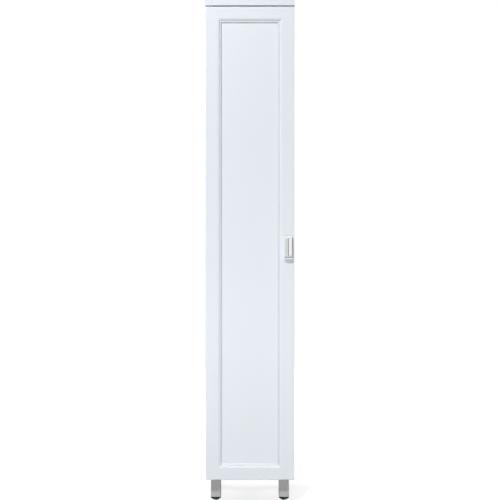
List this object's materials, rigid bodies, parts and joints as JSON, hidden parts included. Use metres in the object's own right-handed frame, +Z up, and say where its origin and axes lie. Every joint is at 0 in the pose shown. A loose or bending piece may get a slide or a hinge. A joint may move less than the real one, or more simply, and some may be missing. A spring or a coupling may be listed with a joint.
{
  "type": "broom cupboard",
  "caption": "Tall narrow white cupboard with a routed-frame door on concealed hinges, a chrome bow handle, shelves over a tall broom bay, and square metal legs on levelling feet.",
  "frame": {"origin": "centre of the floor rectangle under the whole object, on the floor", "axes": "+Z up, the door and its handle face -Y, +X to the right seen from the front"},
  "size_m": [0.35, 0.344, 1.996],
  "materials": {
    "white_front": "white satin foil on fibreboard",
    "white_board": "white melamine on chipboard",
    "white_hardboard": "white lacquered hardboard",
    "edge_band": "white satin edging",
    "chrome": "bright chrome plate",
    "leg_metal": "satin metallic coat",
    "black_plastic": "black moulded plastic",
    "nickel": "nickel-plated pressed steel",
    "zinc": "zinc plate",
    "beech": "plain beech",
    "bumper": "soft translucent pad"
  },
  "bodies": {
    "carcass": {"top_board": "white_board", "bottom_board": "white_board", "left_side": "white_board", "right_side": "white_board", "fixed_shelf": "white_board", "loose_shelf": "white_board", "back_panel": "white_hardboard", "edge_bands": "edge_band", "cam_locks": "zinc", "cam_bolts": "zinc", "back_nails": "zinc", "wall_brackets": "zinc", "bracket_screws": "zinc", "leg_screws": "zinc", "shelf_pins": "zinc", "hinge_arm_pins": "nickel", "hinge_arms": "nickel", "hinge_arm_screws": "nickel", "hinge_plates": "nickel", "hinge_plate_screws": "nickel", "dowels": "beech", "leg_plugs": "black_plastic", "leg_front_left": "leg_metal", "leg_front_right": "leg_metal", "leg_rear_left": "leg_metal", "leg_rear_right": "leg_metal"},
    "main_links": {"hinge_main_links": "nickel"},
    "guide_links": {"hinge_guide_links": "nickel"},
    "door": {"door": "white_front", "handle": "chrome", "handle_screws": "zinc", "door_bumpers": "bumper", "hinge_cups": "nickel", "hinge_cup_screws": "nickel", "hinge_cup_pins": "nickel"},
    "foot_front_left": {"foot_front_left": "black_plastic"},
    "foot_front_right": {"foot_front_right": "black_plastic"},
    "foot_rear_left": {"foot_rear_left": "black_plastic"},
    "foot_rear_right": {"foot_rear_right": "black_plastic"}
  },
  "joints": [
    {"name": "door_swing", "type": "hinge", "parent": "main_links", "child": "door", "pos_m": [-0.1633, -0.1319, 1.038], "axis": [0, 0, -1], "range_deg": [0, 146.6]},
    {"name": "main_link_turn", "type": "hinge", "parent": "carcass", "child": "main_links", "pos_m": [-0.1434, -0.1231, 1.038], "axis": [0, 0, 1], "range_deg": [0, 51.7]},
    {"name": "guide_link_turn", "type": "hinge", "parent": "carcass", "child": "guide_links", "pos_m": [-0.139, -0.118, 1.038], "axis": [0, 0, 1], "range_deg": [0, 18.3]},
    {"name": "foot_front_left_height", "type": "slide", "parent": "carcass", "child": "foot_front_left", "axis": [0, 0, -1], "range_m": [0, 0.012]},
    {"name": "foot_front_right_height", "type": "slide", "parent": "carcass", "child": "foot_front_right", "axis": [0, 0, -1], "range_m": [0, 0.012]},
    {"name": "foot_rear_left_height", "type": "slide", "parent": "carcass", "child": "foot_rear_left", "axis": [0, 0, -1], "range_m": [0, 0.012]},
    {"name": "foot_rear_right_height", "type": "slide", "parent": "carcass", "child": "foot_rear_right", "axis": [0, 0, -1], "range_m": [0, 0.012]}
  ],
  "couplings": [
    {"joint": "main_link_turn", "follows": "door_swing", "ratio": 0.352},
    {"joint": "guide_link_turn", "follows": "door_swing", "ratio": 0.124}
  ]
}
